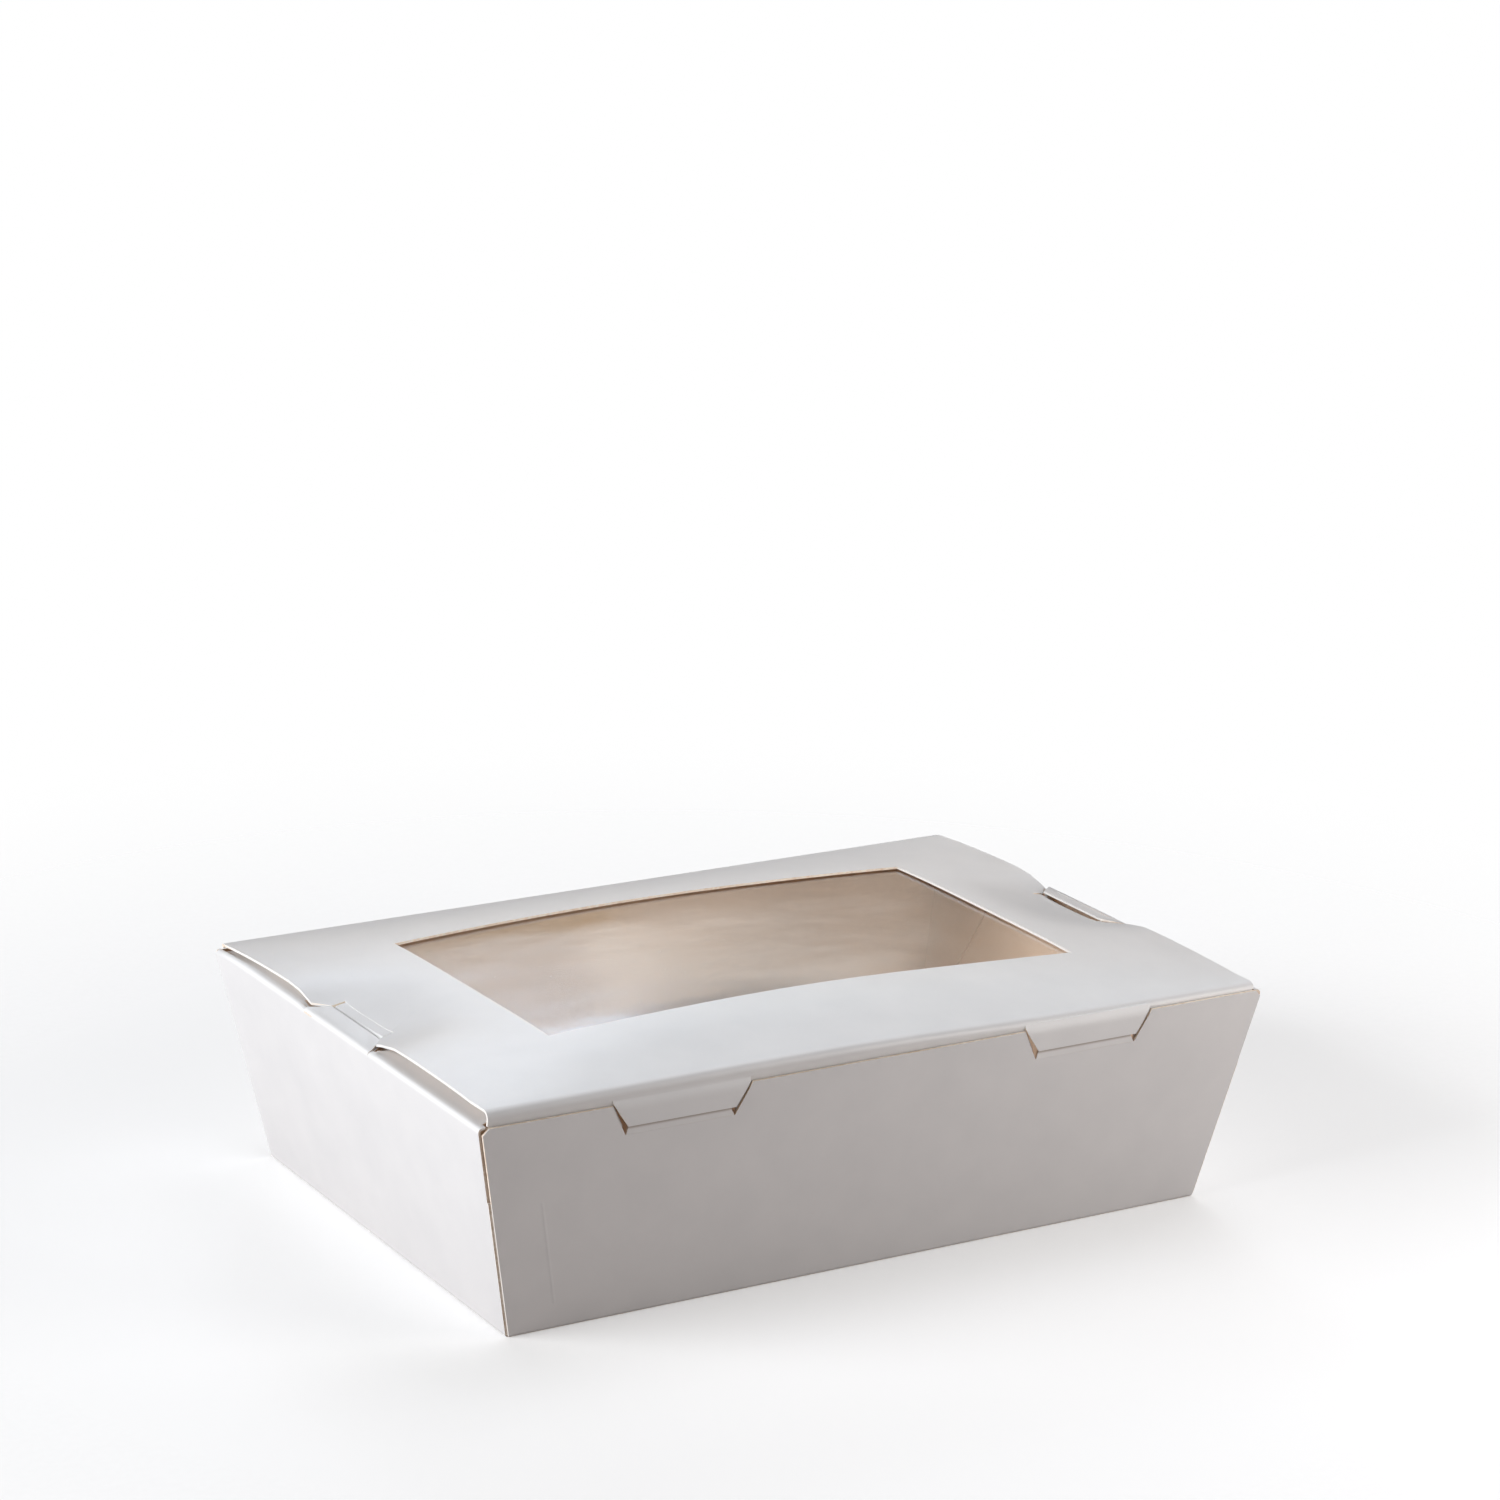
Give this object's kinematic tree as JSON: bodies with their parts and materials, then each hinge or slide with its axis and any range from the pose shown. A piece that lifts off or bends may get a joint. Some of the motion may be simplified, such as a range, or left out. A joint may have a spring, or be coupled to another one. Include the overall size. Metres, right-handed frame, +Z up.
{
  "type": "window lunch box",
  "caption": "Tapered folded-board lunch box with a hinged, bowed lid, slit locks and a clear film window.",
  "frame": {"origin": "middle of the base's underside", "axes": "+X along the front, to the right; +Y to the lid's hinge at the back; +Z up"},
  "size_m": [0.1796, 0.12, 0.0528],
  "materials": {
    "board": "white coated board, satin outside, kraft inside",
    "film": "clear film"
  },
  "bodies": {
    "tray": {"tray": "board"},
    "lid": {"lid": "board", "window_film": "film"}
  },
  "joints": [
    {"name": "lid_hinge", "type": "hinge", "parent": "tray", "child": "lid", "pos_m": [0, 0.05955, 0.0458], "axis": [-1, 0, 0], "range_deg": [0, 180]}
  ]
}
